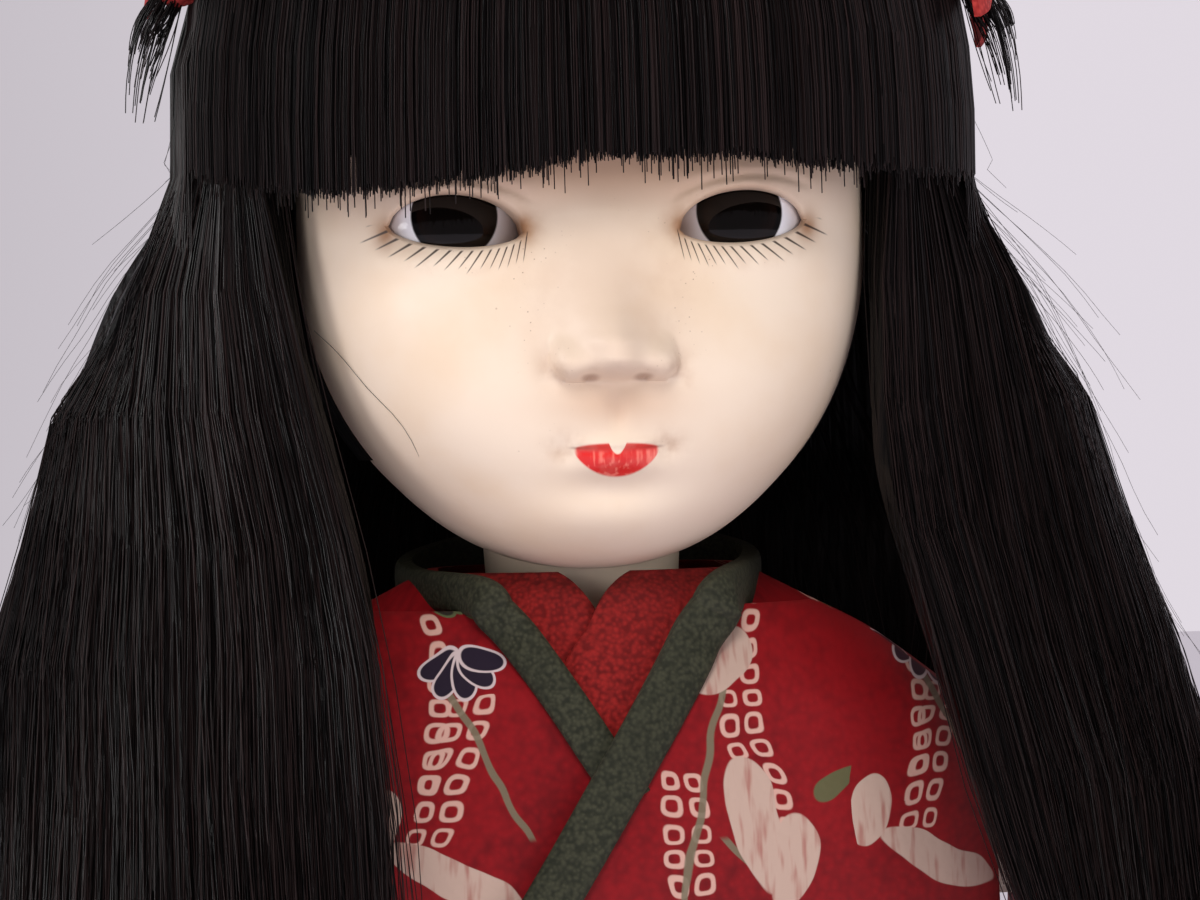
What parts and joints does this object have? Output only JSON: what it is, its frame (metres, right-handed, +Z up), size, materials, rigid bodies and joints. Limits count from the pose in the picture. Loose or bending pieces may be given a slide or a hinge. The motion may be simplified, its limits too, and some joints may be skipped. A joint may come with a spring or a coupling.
{
  "type": "ichimatsu doll",
  "caption": "Standing dressed child doll with a gofun-white head, set glass eyes, long straight black wig, wrapped red kimono with hanging sleeves and a back bow, on a lacquered post stand.",
  "frame": {"origin": "centre of the stand's flat underside", "axes": "+Z up, -Y the way the face looks, +X the doll's own left"},
  "size_m": [0.176, 0.14, 0.4197],
  "materials": {
    "gofun": "satin shell-white coat over pressed composition",
    "white_glass": "opaque white glass",
    "dark_glass": "dark brown glass, polished",
    "hair": "black straight fibre",
    "red_crepe": "matte crinkled crepe",
    "green_crepe": "matte crinkled crepe, dark olive",
    "kimono_silk": "printed silk, dark red",
    "lining_silk": "plain silk, warm red",
    "brocade": "woven brocade, old gold",
    "cotton": "plain white cotton, stuffed",
    "composition": "pressed sawdust composition",
    "bare_wood": "plain turned wood",
    "lacquer": "black lacquer, glossy",
    "brass": "satin brass",
    "sandal": "cloth-covered sole"
  },
  "bodies": {
    "stand": {"stand_board": "lacquer", "stand_post": "bare_wood", "post_collar": "brass"},
    "figure": {"torso_core": "composition", "kimono_body": "kimono_silk", "obi": "brocade", "bow_knot": "brocade", "kimono_skirt": "kimono_silk", "skirt_overlap": "kimono_silk", "hem_roll": "lining_silk", "under_skirt": "cotton", "kimono_front_left": "kimono_silk", "under_collar_left": "red_crepe", "date_collar_left": "green_crepe", "bow_loop_left": "brocade", "bow_tail_left": "brocade", "left_thigh": "cotton", "left_leg": "gofun", "left_tabi": "cotton", "left_thong": "red_crepe", "left_zori": "sandal", "kimono_front_right": "kimono_silk", "under_collar_right": "red_crepe", "date_collar_right": "green_crepe", "bow_loop_right": "brocade", "bow_tail_right": "brocade", "right_thigh": "cotton", "right_leg": "gofun", "right_tabi": "cotton", "right_thong": "red_crepe", "right_zori": "sandal"},
    "head": {"head_front": "gofun", "head_back": "gofun", "neck_peg": "bare_wood", "hair_cap": "hair", "fringe": "hair", "back_hair": "hair", "left_eyeball": "white_glass", "left_iris": "dark_glass", "side_lock_left": "hair", "side_tuft_left": "hair", "hair_ribbon_left": "red_crepe", "right_eyeball": "white_glass", "right_iris": "dark_glass", "side_lock_right": "hair", "side_tuft_right": "hair", "hair_ribbon_right": "red_crepe"},
    "left_arm": {"left_upper_arm": "cotton", "left_forearm": "gofun", "left_sleeve": "kimono_silk", "left_sleeve_lining": "lining_silk"},
    "right_arm": {"right_upper_arm": "cotton", "right_forearm": "gofun", "right_sleeve": "kimono_silk", "right_sleeve_lining": "lining_silk"}
  },
  "joints": [
    {"name": "doll_lift", "type": "slide", "parent": "stand", "child": "figure", "axis": [0, 0, 1], "range_m": [0, 0.2]},
    {"name": "head_turn", "type": "hinge", "parent": "figure", "child": "head", "pos_m": [0, 0.003, 0.3103], "axis": [0, 0, 1], "range_deg": [-30, 30], "deforming": ["side_lock_left", "side_lock_right", "back_hair"]},
    {"name": "left_arm_swing", "type": "hinge", "parent": "figure", "child": "left_arm", "pos_m": [0.05, 0, 0.2883], "axis": [-1, 0, 0], "range_deg": [-20, 30]},
    {"name": "right_arm_swing", "type": "hinge", "parent": "figure", "child": "right_arm", "pos_m": [-0.05, 0, 0.2883], "axis": [-1, 0, 0], "range_deg": [-20, 30]}
  ]
}
